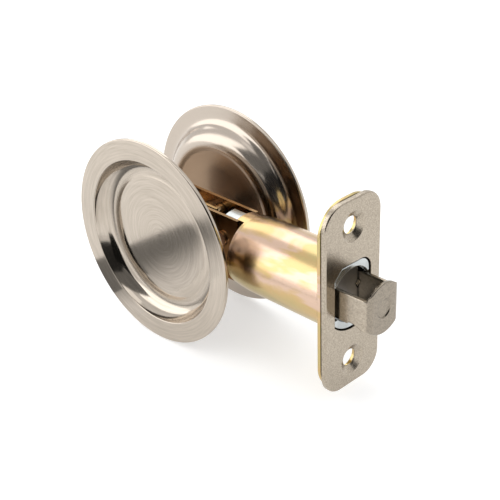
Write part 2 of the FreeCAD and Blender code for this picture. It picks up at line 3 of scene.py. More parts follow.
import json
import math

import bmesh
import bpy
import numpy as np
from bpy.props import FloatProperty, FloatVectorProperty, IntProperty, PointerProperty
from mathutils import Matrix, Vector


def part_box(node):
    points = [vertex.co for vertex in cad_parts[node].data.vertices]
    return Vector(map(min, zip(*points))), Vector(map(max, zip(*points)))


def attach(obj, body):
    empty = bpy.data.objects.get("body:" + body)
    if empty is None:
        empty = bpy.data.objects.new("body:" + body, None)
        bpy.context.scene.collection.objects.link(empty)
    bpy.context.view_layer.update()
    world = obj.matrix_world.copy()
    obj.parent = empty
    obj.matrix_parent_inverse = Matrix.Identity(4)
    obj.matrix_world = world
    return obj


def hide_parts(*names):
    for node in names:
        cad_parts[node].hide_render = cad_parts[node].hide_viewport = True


bl_info = {
    "name": "Pocket door latch set",
    "version": (1, 0, 0),
    "blender": (4, 5, 0),
    "location": "3D View > Sidebar > Latch set",
    "description": "Builds the cups, plates, pull and finishes of a round pocket door latch set",
    "category": "Object",
}

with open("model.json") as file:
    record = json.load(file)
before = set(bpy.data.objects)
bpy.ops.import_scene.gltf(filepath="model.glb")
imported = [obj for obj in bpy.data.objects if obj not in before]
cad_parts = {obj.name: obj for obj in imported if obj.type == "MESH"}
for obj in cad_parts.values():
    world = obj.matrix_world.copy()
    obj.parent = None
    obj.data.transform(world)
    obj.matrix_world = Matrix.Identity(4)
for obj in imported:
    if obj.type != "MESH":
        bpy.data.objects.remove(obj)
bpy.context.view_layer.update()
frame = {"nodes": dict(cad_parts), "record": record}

MM = 0.001
EDGE_MARGIN = 0.35 * MM
cup_low, cup_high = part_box("near_cup")
plate_low, plate_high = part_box("faceplate")
backing_low, backing_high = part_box("backing_plate")
pull_low, pull_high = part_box("edge_pull")


def length(name, description, default):
    """A length property given in metres."""
    return FloatProperty(name=name, description=description, default=default, unit="LENGTH", precision=5)


def colour(name, description, default):
    """A colour property of red, green and blue from 0 to 1."""
    return FloatVectorProperty(name=name, description=description, default=default, subtype="COLOR", size=3,
                               min=0.0, max=1.0)


class CupSizes(bpy.types.PropertyGroup):
    face: length("Face", "Distance from the tube's axis to a cup's outer face", -cup_low[1])
    radius: length("Radius", "Outer radius of a cup", cup_high[0])
    sheet: length("Sheet", "Thickness of the pressed sheet", 1.3 * MM)
    recess_radius: length("Recess radius", "Radius where the flange turns into the wall", 25.4 * MM)
    recess_depth: length("Recess depth", "Depth of the ring where wall and floor meet", 5.2 * MM)
    cove_width: length("Cove width", "Radial width of the coved wall", 4.2 * MM)
    cove_bulge: length("Cove bulge", "How far the wall's arc stands off its chord", 0.7 * MM)
    floor_edge_width: length("Floor edge width", "Radial width of the floor's pillowed edge", 4.7 * MM)
    floor_rise: length("Floor rise", "Height of the flat floor above the ring", 1.0 * MM)
    corner_reach: length("Corner reach", "How far a softened edge reaches along its two sides", 0.28 * MM)
    ring_reach: length("Ring reach", "How far the soft turns inside the recess reach", 2.1 * MM)
    rim_reach: length("Rim reach", "How far the softened edges of the rim reach", 0.42 * MM)
    around: IntProperty(name="Around", description="Steps round a cup", default=288, min=24, max=720)


class PlateSizes(bpy.types.PropertyGroup):
    corner: length("Faceplate corner", "Corner radius of the faceplate", 6.35 * MM)
    backing_corner: length("Backing corner", "Corner radius of the backing plate", 9.0 * MM)
    edge_round: length("Edge round", "Rounding of the faceplate's front edge", 0.45 * MM)
    fine_round: length("Fine round", "Rounding of window, holes and back edges", 0.16 * MM)
    window_half_width: length("Window half width", "Half width of the window", 7.35 * MM)
    window_top: length("Window top", "Height of the window's flat top above the axis", 9.8 * MM)
    window_bottom: length("Window bottom", "Radius of the window's round bottom", 10.4 * MM)
    near_chamfer: length("Near chamfer", "Chamfer of the window's upper near corner", 2.9 * MM)
    far_corner: length("Far corner", "Radius of the window's upper far corner", 4.0 * MM)
    screw_height: length("Screw height", "Height of a screw hole's centre above the axis", 20.65 * MM)
    hole_radius: length("Hole radius", "Radius of a screw hole", 2.5 * MM)
    sink_radius: length("Countersink radius", "Radius of a countersink at the front face", 4.55 * MM)
    sink_depth: length("Countersink depth", "Depth of a countersink", 1.25 * MM)
    backing_bore: length("Backing bore", "Radius of the backing plate's middle hole", 10.2 * MM)
    backing_hole: length("Backing hole", "Radius of the backing plate's screw holes", 3.3 * MM)


class PullSizes(bpy.types.PropertyGroup):
    sheet: length("Sheet", "Thickness of the folded strap", 1.2 * MM)
    bend: length("Bend", "Outer radius of the two bends", 2.0 * MM)
    end_radius: length("End radius", "Radius of the round end plate", 7.6 * MM)
    top: length("Top", "Height of a leg above the axis", 4.3 * MM)
    bottom: length("Bottom", "Depth of a leg below the axis", 4.8 * MM)
    flare: length("Flare", "Extra depth of a leg by the end plate", 0.3 * MM)
    notch_depth: length("Notch depth", "Depth of the notch in a leg's lower edge", 0.6 * MM)
    notch_front: length("Notch front", "Distance of the notch from the end face", 5.2 * MM)
    notch_length: length("Notch length", "Length of the notch", 1.7 * MM)
    edge_round: length("Edge round", "Rounding of the strap's edges", 0.32 * MM)
    dimple_radius: length("Dimple radius", "Radius of the plain dimple in the end plate", 2.9 * MM)
    dimple_depth: length("Dimple depth", "Depth of the dimple", 0.35 * MM)
    stake_setback: length("Stake setback", "Distance of the stakes from the end face", 13.4 * MM)
    stake_height: length("Stake height", "Height of a stake's middle above the axis", 0.4 * MM)
    stake_depth: length("Stake depth", "How far a stake stands off its leg's inner face", 0.8 * MM)
    stake_half: length("Stake half height", "Half height of a stake's base", 1.15 * MM)


class GuideSizes(bpy.types.PropertyGroup):
    hole_radius: length("Hole radius", "Radius of the guide's hole", 7.6 * MM)
    hole_half_width: length("Hole half width", "Half distance between the hole's flats", 6.6 * MM)
    leg_gap: length("Leg gap", "Gap above and below the pull's legs", 0.3 * MM)
    lip_gap: length("Lip gap", "Gap between the window and the lips", 0.3 * MM)
    lip_sink: length("Lip sink", "Depth of the lips' front below the faceplate's face", 0.35 * MM)
    edge_round: length("Edge round", "Rounding of the guide's edges", 0.15 * MM)
    lip_round: length("Lip round", "Rounding of the lips' front edges", 0.32 * MM)


class FinishColours(bpy.types.PropertyGroup):
    nickel: colour("Nickel", "Satin nickel plate", (0.55, 0.485, 0.415))
    nickel_dark: colour("Nickel, dark", "Satin nickel in its grooves", (0.41, 0.36, 0.30))
    plate: colour("Plate", "Satin nickel of the faceplate and the pull", (0.50, 0.435, 0.35))
    plate_dark: colour("Plate, dark", "The same in its grain", (0.29, 0.25, 0.20))
    cup_back: colour("Cup back", "Unbrushed nickel on the backs of the cups", (0.48, 0.42, 0.36))
    # Darker, browner colour on the backs of the cups' floors.
    cup_floor_back: colour("Cup stain", "Brown stain on the backs of the cups' floors", (0.29, 0.20, 0.13))
    gold: colour("Gold", "Yellow zinc plate", (0.59, 0.415, 0.20))
    rose: colour("Rose", "Pink tint in the yellow zinc", (0.65, 0.47, 0.36))
    green: colour("Green", "Green tint in the yellow zinc", (0.53, 0.425, 0.20))
    # The fork's colour is the yellow zinc tinted copper, and made darker as painted shade between the cups.
    fork: colour("Fork", "Copper tinted zinc of the fork between the cups", (0.53, 0.365, 0.20))
    casting: colour("Casting", "Bright zinc casting", (0.60, 0.63, 0.63))
    dull: colour("Dull casting", "Dull zinc casting", (0.24, 0.225, 0.205))
    steel: colour("Steel", "Plain plated steel", (0.50, 0.49, 0.48))


class StudioSizes(bpy.types.PropertyGroup):
    yaw: FloatProperty(name="Yaw", description="Turn of the camera about the vertical", subtype="ANGLE",
                       default=math.radians(45.68))
    pitch: FloatProperty(name="Pitch", description="Camera's angle above the horizon", subtype="ANGLE",
                         default=math.radians(28.92))
    roll: FloatProperty(name="Roll", description="Turn of the camera about its own axis", subtype="ANGLE",
                        default=math.radians(-2.045))
    place: FloatVectorProperty(name="Place", description="Place of the camera", subtype="TRANSLATION",
                               default=(0.23984, -0.21074, 0.16603), precision=5)
    lens: FloatProperty(name="Lens", description="Focal length in mm on a 36 mm sensor", default=86.11)
    floor: length("Floor", "Half width of the floor", 1.5)
    fill: FloatProperty(name="Fill", description="Strength of the even light from all round", default=0.8)
    floor_lift: FloatProperty(name="Floor lift", description="Light that the floor adds itself", default=0.46)


def sizes(group):
    """The scene's values of one property group."""
    return getattr(bpy.context.scene, group)


def unit(vectors):
    """Vectors over their lengths, along the last axis."""
    return vectors / np.linalg.norm(vectors, axis=-1, keepdims=True)


def line(start, end, count=2):
    """Points evenly from start to end: start + t (end - start)."""
    t = np.linspace(0.0, 1.0, count)[:, None]
    return np.array(start) + t * (np.array(end) - np.array(start))


def arc(start, end, centre, count):
    """Short arc: centre + R (cos a, sin a), a going evenly from start's angle to end's."""
    centre = np.array(centre)
    first = np.array(start) - centre
    last = np.array(end) - centre
    begin = math.atan2(first[1], first[0])
    turn = (math.atan2(last[1], last[0]) - begin + math.pi) % (2 * math.pi) - math.pi
    angles = begin + turn * np.linspace(0.0, 1.0, count)
    return centre + np.linalg.norm(first) * np.stack([np.cos(angles), np.sin(angles)], axis=-1)


def softened(runs, reaches, count=6):
    """Runs joined end to end, each corner c replaced by c + (1-t)^2 r u + t^2 r v.

    u and v are the unit directions from the corner back along one run and on along the next, r is the reach
    of that corner and t goes from 0 to 1, so the curve leaves and joins the runs along their own lines.
    Points of a run nearer to the corner than the reach are left out.
    """
    t = np.linspace(0.0, 1.0, count)[:, None]
    kept = []
    for run, at_start, at_end in zip(runs, [-1.0, *reaches], [*reaches, -1.0]):
        from_start = np.linalg.norm(run - run[0], axis=1)
        from_end = np.linalg.norm(run - run[-1], axis=1)
        kept.append(run[(from_start > at_start) & (from_end > at_end)])
    points = [kept[0]]
    for index, reach in enumerate(reaches):
        corner = runs[index][-1]
        before = kept[index] if len(kept[index]) else runs[index][:1]
        after = kept[index + 1] if len(kept[index + 1]) else runs[index + 1][-1:]
        back = unit(before[-1] - corner)
        onward = unit(after[0] - corner)
        points.append(corner + (1 - t) ** 2 * reach * back + t ** 2 * reach * onward)
        points.append(kept[index + 1])
    return np.concatenate(points)


def grid_faces(rows, columns, round_columns):
    """Quads of a grid of points, whose last column joins its first where it goes all round."""
    row = np.arange(rows - 1)
    column = np.arange(columns if round_columns else columns - 1)
    i, j = np.meshgrid(row, column, indexing="ij")
    k = (j + 1) % columns
    corners = [i * columns + j, (i + 1) * columns + j, (i + 1) * columns + k, i * columns + k]
    return np.stack(corners, axis=-1).reshape(-1, 4)


def mesh_of(name, grids, sharp=math.radians(32), filled_at=(), second_from=None):
    """Mesh of grids that go all round, with flat faces filled between the open edges at each given X.

    From the row second_from on, the faces of a single grid take the second material.
    """
    points = []
    faces = []
    start = 0
    for grid in grids:
        rows, columns = grid.shape[:2]
        points.append(grid.reshape(-1, 3))
        faces.append(grid_faces(rows, columns, True) + start)
        start += rows * columns
    mesh = bpy.data.meshes.new(name)
    mesh.from_pydata(np.concatenate(points).tolist(), [], np.concatenate(faces).tolist())
    if second_from is not None:
        columns = grids[0].shape[1]
        row = np.arange(len(mesh.polygons)) // columns
        mesh.polygons.foreach_set("material_index", (row >= second_from).astype(np.int32))
    work = bmesh.new()
    work.from_mesh(mesh)
    bmesh.ops.remove_doubles(work, verts=work.verts, dist=1e-7)
    for x in filled_at:
        rim = [edge for edge in work.edges if edge.is_boundary and abs(edge.verts[0].co.x - x) < 1e-6]
        bmesh.ops.triangle_fill(work, use_beauty=True, use_dissolve=False, edges=rim)
    bmesh.ops.recalc_face_normals(work, faces=work.faces)
    work.to_mesh(mesh)
    work.free()
    mesh.shade_smooth()
    mesh.set_sharp_from_angle(angle=sharp)
    return mesh


def add_object(name, data):
    """Object at the origin that shows a mesh, light or camera in the scene."""
    item = bpy.data.objects.new(name, data)
    bpy.context.scene.collection.objects.link(item)
    return item


def add_piece(name, mesh, materials, body, node):
    """Object of a mesh that stands for a CAD node and rides on its body."""
    piece = add_object(name, mesh)
    for material in materials:
        mesh.materials.append(material)
    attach(piece, body)
    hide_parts(node)


def revolved(profile, around):
    """Profile of (radius, height) pairs turned about Y: (r cos a, h, r sin a)."""
    angles = np.linspace(0.0, 2 * math.pi, around, endpoint=False)
    radius = profile[:, :1]
    height = np.broadcast_to(profile[:, 1:], (len(profile), around))
    return np.stack([radius * np.cos(angles), height, radius * np.sin(angles)], axis=-1)


def circles_meet(first, first_radius, second, second_radius):
    """Point where two circles cross, on the right of the line from the first centre to the second."""
    run = np.array(second) - np.array(first)
    span = np.linalg.norm(run)
    along = (first_radius ** 2 - second_radius ** 2 + span ** 2) / (2 * span)
    across = math.sqrt(first_radius ** 2 - along ** 2)
    forward = run / span
    return np.array(first) + along * forward + across * np.array([forward[1], -forward[0]])


def cup_profile(cup):
    """Section of a cup as (radius, depth) pairs, from the axis over the face to the rim and back behind.

    The floor's edge is an arc of radius (w^2 + h^2) / 2h that leaves the flat floor level, w wide and h high.
    The wall is an arc through ring and recess edge, bulging off its chord. The back is the front again, one
    sheet deeper.
    """
    ring = np.array([cup.recess_radius - cup.cove_width, cup.recess_depth])
    edge = np.array([cup.recess_radius, 0.0])
    floor_radius = ring[0] - cup.floor_edge_width
    floor_depth = cup.recess_depth - cup.floor_rise
    pillow = (cup.floor_edge_width ** 2 + cup.floor_rise ** 2) / (2 * cup.floor_rise)
    pillow_centre = np.array([floor_radius, floor_depth + pillow])
    chord = np.linalg.norm(edge - ring)
    cove = (chord ** 2 / 4 + cup.cove_bulge ** 2) / (2 * cup.cove_bulge)
    outwards = np.array([cup.recess_depth, cup.cove_width]) / chord
    cove_centre = (ring + edge) / 2 - outwards * (cove - cup.cove_bulge)
    sheet = cup.sheet
    rim = (cup.radius, 0.0)
    rim_back = (cup.radius, sheet)
    crease = cove_centre[0] + math.sqrt((cove + sheet) ** 2 - (sheet - cove_centre[1]) ** 2)
    back_ring = circles_meet(cove_centre, cove + sheet, pillow_centre, pillow - sheet)
    floor = (floor_radius, floor_depth)
    back_floor = (floor_radius, floor_depth + sheet)
    front = [
        line((0.0, floor_depth), floor, 12), arc(floor, ring, pillow_centre, 14),
        arc(ring, edge, cove_centre, 22), line(edge, rim, 8), line(rim, rim_back),
    ]
    back = [
        line(rim_back, (crease, sheet), 4), arc((crease, sheet), back_ring, cove_centre, 16),
        arc(back_ring, back_floor, pillow_centre, 10), line(back_floor, (0.0, back_floor[1]), 6),
    ]
    fine, outer, wide = cup.corner_reach, cup.rim_reach, cup.ring_reach
    return softened(front + back, [wide, wide, fine, outer, outer, wide, wide, wide])


class BuildCups(bpy.types.Operator):
    """Near and far finger cups, each one profile turned about the cups' axis"""
    bl_idname = "latch_set.cups"
    bl_label = "Finger cups"

    def execute(self, context):
        cup = sizes("cup_sizes")
        profile = cup_profile(cup)
        for name, side in (("near_finger_cup", -1), ("far_finger_cup", 1)):
            section = np.stack([profile[:, 0], side * (cup.face - profile[:, 1])], axis=-1)
            rim_back = int(np.argmax(profile.sum(axis=1)))
            mesh = mesh_of(name, [revolved(section, cup.around)], second_from=rim_back)
            node = name.replace("_finger", "")
            add_piece(name, mesh, [ringed_nickel(), inner_nickel()], "latch", node)
        return {"FINISHED"}


def rounded_outline(corners, radii, arc_steps=10, spacing=0.9 * MM):
    """Closed outline through corners, each turned by an arc of its own radius that meets its two sides.

    For a corner c with unit directions u and v to its neighbours and half angle h between them, the arc
    starts at c + u R / tan h and ends at c + v R / tan h. Straight stretches are divided evenly.
    """
    corners = np.array(corners)
    stretches = []
    for corner, before, after, radius in zip(corners, np.roll(corners, 1, 0), np.roll(corners, -1, 0), radii):
        u = unit(before - corner)
        v = unit(after - corner)
        half = math.acos(np.clip(u @ v, -1.0, 1.0)) / 2
        if radius == 0:
            stretches.append(corner[None, :])
            continue
        reach = radius / math.tan(half)
        centre = corner + unit(u + v) * radius / math.sin(half)
        stretches.append(arc(corner + u * reach, corner + v * reach, centre, arc_steps))
    points = []
    for stretch, following in zip(stretches, stretches[1:] + stretches[:1]):
        gap = np.linalg.norm(following[0] - stretch[-1])
        points.append(stretch[:-1])
        points.append(line(stretch[-1], following[0], max(2, int(gap / spacing) + 1))[:-1])
    return np.concatenate([part for part in points if len(part)])


def into_material(outline, outer):
    """Unit normals of a closed outline, pointing into the plate: inwards from its edge, outwards from a hole.

    They are its tangents turned by 90 degrees, to the side that the sign of the outline's area tells.
    """
    tangent = unit(np.roll(outline, -1, 0) - np.roll(outline, 1, 0))
    normal = np.stack([-tangent[:, 1], tangent[:, 0]], axis=-1)
    x, y = outline.T
    area = np.sum(x * np.roll(y, -1) - y * np.roll(x, -1))
    return normal * (1 if (area > 0) == outer else -1)


def edge_wall(outline, outer, profile):
    """Profile of (inset, x) pairs carried round an outline in the YZ plane: outline + inset * normal, at x."""
    normal = into_material(outline, outer)
    inset = profile[:, 0][:, None, None]
    flat = outline[None] + inset * normal[None]
    x = np.broadcast_to(profile[:, 1][:, None], flat.shape[:2])
    return np.stack([x, flat[..., 0], flat[..., 1]], axis=-1)


def plate_edge(back, front, back_round, front_round, margin=EDGE_MARGIN):
    """Profile of a plate's edge: quarter rounds at back and front, and a flat margin beside each."""
    lower = arc((back_round, back), (0.0, back + back_round), (back_round, back + back_round), 5)
    upper = arc((0.0, front - front_round), (front_round, front), (front_round, front - front_round), 6)
    return np.concatenate([[(back_round + margin, back)], lower, upper, [(front_round + margin, front)]])


def sink_edge(plate, back, front):
    """Profile of a countersunk hole, with insets counted from the hole's radius."""
    start = front - plate.sink_depth
    fine = plate.fine_round
    rim = plate.sink_radius - plate.hole_radius
    end = rim + EDGE_MARGIN + fine
    lower = arc((fine, back), (0.0, back + fine), (fine, back + fine), 4)
    runs = [
        line((0.0, back + fine), (0.0, start), 3), line((0.0, start), (rim, front), 5),
        line((rim, front), (end, front), 3),
    ]
    return np.concatenate([[(fine + EDGE_MARGIN, back)], lower[:-1], softened(runs, [fine * 0.8] * 2, 4)])


def circle(radius, height, count=72):
    """Circle in the YZ plane: (R cos a, height + R sin a)."""
    angles = np.linspace(0.0, 2 * math.pi, count, endpoint=False)
    return np.stack([radius * np.cos(angles), height + radius * np.sin(angles)], axis=-1)


def window_outline(plate):
    """Window: round bottom, straight sides and top, one chamfered and one rounded upper corner."""
    side = plate.window_half_width
    low = -math.sqrt(plate.window_bottom ** 2 - side ** 2)
    bottom = arc((side, low), (-side, low), (0.0, 0.0), 33)[1:-1]
    corners = [(-side, low), (-side, plate.window_top - plate.near_chamfer),
               (-side + plate.near_chamfer, plate.window_top), (side, plate.window_top), (side, low)]
    small = 0.5 * MM
    radii = [small, small, small, plate.far_corner, small] + [0] * len(bottom)
    return rounded_outline(np.concatenate([corners, bottom]), radii)


def plate_outline(low, high, corner):
    """Rounded rectangle between a box's low and high corners in Y and Z."""
    corners = [(low[1], low[2]), (high[1], low[2]), (high[1], high[2]), (low[1], high[2])]
    return rounded_outline(corners, [corner] * 4, arc_steps=18)


class BuildFaceplate(bpy.types.Operator):
    """Faceplate with its window and countersunk screw holes, and every edge softened"""
    bl_idname = "latch_set.faceplate"
    bl_label = "Faceplate"

    def execute(self, context):
        plate = sizes("plate_sizes")
        back, front = plate_low[0], plate_high[0]
        fine = plate.fine_round
        outer = plate_outline(plate_low, plate_high, plate.corner)
        walls = [edge_wall(outer, True, plate_edge(back, front, fine, plate.edge_round)),
                 edge_wall(window_outline(plate), False, plate_edge(back, front, fine, fine))]
        sink = sink_edge(plate, back, front)
        for height in (-plate.screw_height, plate.screw_height):
            walls.append(edge_wall(circle(plate.hole_radius, height), False, sink))
        mesh = mesh_of("front_plate", walls, filled_at=(back, front))
        add_piece("front_plate", mesh, [plain_nickel()], "latch", "faceplate")
        return {"FINISHED"}


class BuildBackingPlate(bpy.types.Operator):
    """Yellow plate behind the faceplate, whose edges show round it"""
    bl_idname = "latch_set.backing_plate"
    bl_label = "Backing plate"

    def execute(self, context):
        plate = sizes("plate_sizes")
        back, front = backing_low[0], backing_high[0]
        edge = plate_edge(back, front, plate.fine_round, 2 * plate.fine_round)
        plain = plate_edge(back, front, plate.fine_round, plate.fine_round)
        outer = plate_outline(backing_low, backing_high, plate.backing_corner)
        walls = [edge_wall(outer, True, edge), edge_wall(circle(plate.backing_bore, 0.0, 120), False, plain)]
        for height in (-plate.screw_height, plate.screw_height):
            walls.append(edge_wall(circle(plate.backing_hole, height), False, plain))
        mesh = mesh_of("rear_plate", walls, filled_at=(back, front))
        add_piece("rear_plate", mesh, [yellow_zinc()], "latch", "backing_plate")
        return {"FINISHED"}


def guide_hole(guide, leg_low, leg_high):
    """Hole of the guide: a circle flattened at both sides, squared out to the height of the pull's legs."""
    radius, side = guide.hole_radius, guide.hole_half_width
    reach_high = math.sqrt(radius ** 2 - leg_high ** 2)
    reach_low = math.sqrt(radius ** 2 - leg_low ** 2)
    return np.concatenate([
        line((side, leg_low), (side, leg_high), 12),
        arc((reach_high, leg_high), (-reach_high, leg_high), (0, 0), 40),
        line((-side, leg_high), (-side, leg_low), 12),
        arc((-reach_low, leg_low), (reach_low, leg_low), (0, 0), 40),
    ])


def guide_lips(guide, plate, leg_low, leg_high):
    """Outlines of the guide's two lips: the window less a gap, and clear of the pull's end and legs."""
    radius, gap = guide.hole_radius + guide.leg_gap, guide.lip_gap
    side, top = plate.window_half_width - gap, plate.window_top - gap
    chamfer = plate.near_chamfer - 0.4 * gap  # keeps the gap about even there
    reach_high = math.sqrt(radius ** 2 - leg_high ** 2)
    reach_low = math.sqrt(radius ** 2 - leg_low ** 2)
    corners = [(-side, leg_high), (-side, top - chamfer), (-side + chamfer, top), (side, top),
               (side, leg_high)]
    inner = arc((reach_high, leg_high), (-reach_high, leg_high), (0, 0), 30)
    small = 0.3 * MM
    radii = [0, small, small, plate.far_corner - gap, 0] + [0] * len(inner)
    upper = rounded_outline(np.concatenate([corners, inner]), radii)
    bottom = plate.window_bottom - gap
    low = -math.sqrt(bottom ** 2 - side ** 2)
    lower = np.concatenate([
        [(side, leg_low)], arc((side, low), (-side, low), (0, 0), 40), [(-side, leg_low)],
        arc((-reach_low, leg_low), (reach_low, leg_low), (0, 0), 30),
    ])
    return upper, lower


class BuildGuide(bpy.types.Operator):
    """Cast guide in the tube's mouth, with the two lips that fill the faceplate's window round the pull"""
    bl_idname = "latch_set.guide"
    bl_label = "Guide"

    def execute(self, context):
        guide = sizes("guide_sizes")
        low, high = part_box("front_guide")
        pull = sizes("pull_sizes")
        leg_low = -pull.bottom - pull.flare - guide.leg_gap
        leg_high = pull.top + guide.leg_gap
        back, front = low[0], high[0]
        fine = guide.edge_round
        edge = plate_edge(back, front, fine, fine)
        walls = [edge_wall(circle(high[1], 0.0, 120), True, edge),
                 edge_wall(guide_hole(guide, leg_low, leg_high), False, edge)]
        root = 0.3 * MM
        lip_back, lip_front = front - root, plate_high[0] - guide.lip_sink
        lip_edge = plate_edge(lip_back, lip_front, fine, guide.lip_round, margin=0.05 * MM)
        for outline in guide_lips(guide, sizes("plate_sizes"), leg_low, leg_high):
            walls.append(edge_wall(outline, True, lip_edge))
        mesh = mesh_of("cast_guide", walls, filled_at=(back, front, lip_back, lip_front))
        add_piece("cast_guide", mesh, [bright_zinc()], "latch", "front_guide")
        return {"FINISHED"}


def strap_path(pull):
    """Middle line of the folded strap in the XY plane, leg, end plate and leg, and its outward normals."""
    half = pull_high[1] - pull.sheet / 2
    end = pull_high[0] - pull.sheet / 2
    bend = pull.bend - pull.sheet / 2
    rear = pull_low[0]
    turn = end - bend
    runs = [
        line((rear, -half), (turn, -half), 110),
        arc((turn, -half), (end, -half + bend), (turn, -half + bend), 14),
        line((end, -half + bend), (end, half - bend), 64),
        arc((end, half - bend), (turn, half), (turn, half - bend), 14),
        line((turn, half), (rear, half), 110),
    ]
    points = np.concatenate([runs[0]] + [run[1:] for run in runs[1:]])
    ahead = np.concatenate([points[1:], points[-1:]])
    behind = np.concatenate([points[:1], points[:-1]])
    tangent = unit(ahead - behind)
    return points, np.stack([tangent[:, 1], -tangent[:, 0]], axis=-1)


def stake(pull, side):
    """V shaped stake pressed into one leg: a three sided cone from the leg's inner face to its peak."""
    face = side * (pull_high[1] - pull.sheet)
    front = pull_high[0] - pull.stake_setback
    middle, half = pull.stake_height, pull.stake_half
    rear = front - 0.7 * half  # where the V's point lies
    base = [(front, face, middle + half), (rear, face, middle), (front, face, middle - half)]
    peak = (front, face - side * pull.stake_depth, middle)
    closing = np.mean(base, axis=0)
    return np.array([[peak] * 3, base, [closing] * 3])


def strap_surface(pull):
    """The strap: its rounded section carried along the folded middle line.

    Beside a leg the section goes from the leg's lower edge, with its notch and flare, to its top. Across the
    end plate it goes up and down to the circle z = sqrt(R^2 - y^2) where that is further out. The section runs
    up the outer side and down the inner one, with a quarter round at each corner. The outer face sinks by
    d (1 - s(r)) near the middle of the end plate, s being a smooth step at the dimple's radius.
    """
    points, normals = strap_path(pull)
    x, y = points.T
    end = pull_high[0]
    notch_front = end - pull.notch_front
    notch_rear = notch_front - pull.notch_length
    bend_start = end - pull.bend
    low = -pull.bottom
    depth = pull.notch_depth
    outline_x = [pull_low[0], notch_rear - depth, notch_rear, notch_front, bend_start - depth, end]
    outline_z = [low, low, low + depth, low + depth, low - pull.flare, low - pull.flare]
    leg_low = np.interp(x, outline_x, outline_z)
    disc = np.where(x > end - pull.sheet, np.sqrt(np.maximum(pull.end_radius ** 2 - y ** 2, 0.0)), 0.0)
    bottom = np.minimum(leg_low, -disc)
    top = np.maximum(pull.top, disc)

    half = pull.sheet / 2
    edge = pull.edge_round
    corner_steps, face_steps = 5, 90
    quarter = np.linspace(0.0, math.pi / 2, corner_steps)
    corner_offset = half - edge + edge * np.sin(quarter)
    corner_inset = edge - edge * np.cos(quarter)
    rise = np.linspace(0.0, 1.0, face_steps)[1:-1]
    face = np.ones(len(rise))
    outer = np.concatenate([corner_offset, half * face, corner_offset[::-1]])
    offset = np.concatenate([outer, -outer])
    upward = np.concatenate([np.zeros(corner_steps), rise, np.ones(corner_steps)])
    share = np.concatenate([upward, upward[::-1]])
    inset = np.tile(np.concatenate([corner_inset, edge * face, corner_inset[::-1]]), 2)
    z = bottom[:, None] * (1 - share) + top[:, None] * share + inset * (1 - 2 * share)

    floor_share = 0.86
    radius = np.hypot(y[:, None], z)
    blend = np.clip((radius / pull.dimple_radius - floor_share) / (1 - floor_share), 0.0, 1.0)
    step = blend * blend * (3 - 2 * blend)
    on_end = (x > end - pull.sheet)[:, None] & (offset > half - 1e-9)
    offset = np.where(on_end, offset - pull.dimple_depth * (1 - step), offset)
    place = points[:, None, :] + offset[..., None] * normals[:, None, :]
    surface = np.concatenate([place, z[..., None]], axis=-1)
    first = np.broadcast_to(surface[:1].mean(axis=1, keepdims=True), surface[:1].shape)
    last = np.broadcast_to(surface[-1:].mean(axis=1, keepdims=True), surface[-1:].shape)
    return np.concatenate([first, surface, last])


class BuildPull(bpy.types.Operator):
    """Edge pull folded from one strap, with a round end plate and a plain dimple"""
    bl_idname = "latch_set.pull"
    bl_label = "Edge pull"

    def execute(self, context):
        pull = sizes("pull_sizes")
        mesh = mesh_of("folded_pull", [strap_surface(pull), stake(pull, -1), stake(pull, 1)])
        add_piece("folded_pull", mesh, [plain_nickel()], "pull", "edge_pull")
        return {"FINISHED"}


class Tree:
    """Short hand for adding nodes to one tree and linking them."""

    def __init__(self, tree):
        self.nodes = tree.nodes
        self.links = tree.links

    def feed(self, node, links, values=()):
        """Links sources to a node's named inputs, and sets constants on others."""
        for key, source in links.items():
            self.links.new(source, node.inputs[key])
        for key, value in dict(values).items():
            node.inputs[key].default_value = value

    def add(self, kind, links=(), values=(), **settings):
        """Node of a kind, with settings, sockets linked from others and constant sockets."""
        node = self.nodes.new(kind)
        for key, value in settings.items():
            setattr(node, key, value)
        self.feed(node, dict(links), values)
        return node

    def maths(self, operation, first, second):
        """Maths node whose two operands are sockets or numbers."""
        node = self.nodes.new("ShaderNodeMath")
        node.operation = operation
        for index, operand in enumerate((first, second)):
            if isinstance(operand, (int, float)):
                node.inputs[index].default_value = operand
            else:
                self.links.new(operand, node.inputs[index])
        return node.outputs[0]

    def ranged(self, value, start, end, low, high, shape="LINEAR"):
        """Value taken from the range start to end to the range low to high, and held at its ends."""
        limits = {"From Min": start, "From Max": end, "To Min": low, "To Max": high}
        node = self.add("ShaderNodeMapRange", {"Value": value}, limits, interpolation_type=shape)
        return node.outputs["Result"]

    def spread(self, value, low, high):
        """Value from 0 to 1 taken to a range."""
        return self.ranged(value, 0.0, 1.0, low, high)

    def scaled(self, colour_socket, factor):
        """Colour times a factor."""
        node = self.add("ShaderNodeVectorMath", {0: colour_socket, "Scale": factor}, operation="SCALE")
        return node.outputs["Vector"]

    def bump(self, height, strength, distance):
        """Normal of a height."""
        node = self.add("ShaderNodeBump", {"Height": height}, {"Strength": strength, "Distance": distance})
        return node.outputs["Normal"]

    def ramp(self, source, stops):
        """Colour ramp of (place, colour) stops."""
        node = self.nodes.new("ShaderNodeValToRGB")
        ramp = node.color_ramp
        while len(ramp.elements) < len(stops):
            ramp.elements.new(0.5)
        for element, (place, tone) in zip(ramp.elements, stops):
            element.position = place
            element.color = (*tone, 1.0)
        self.links.new(source, node.inputs["Fac"])
        return node.outputs["Color"]


def node_group(name, scale, outputs):
    """Shader node group with the inputs Vector and Scale, and its tree and the two inputs' sockets.

    Its outputs are given as their names and kinds, and Scale by its default.
    """
    group = bpy.data.node_groups.new(name, "ShaderNodeTree")
    new_socket = group.interface.new_socket
    new_socket(name="Vector", in_out="INPUT", socket_type="NodeSocketVector")
    new_socket(name="Scale", in_out="INPUT", socket_type="NodeSocketFloat").default_value = scale
    for label, kind in outputs.items():
        new_socket(name=label, in_out="OUTPUT", socket_type="NodeSocket" + kind)
    tree = Tree(group)
    start = tree.add("NodeGroupInput")
    return group, tree, start.outputs["Vector"], start.outputs["Scale"]


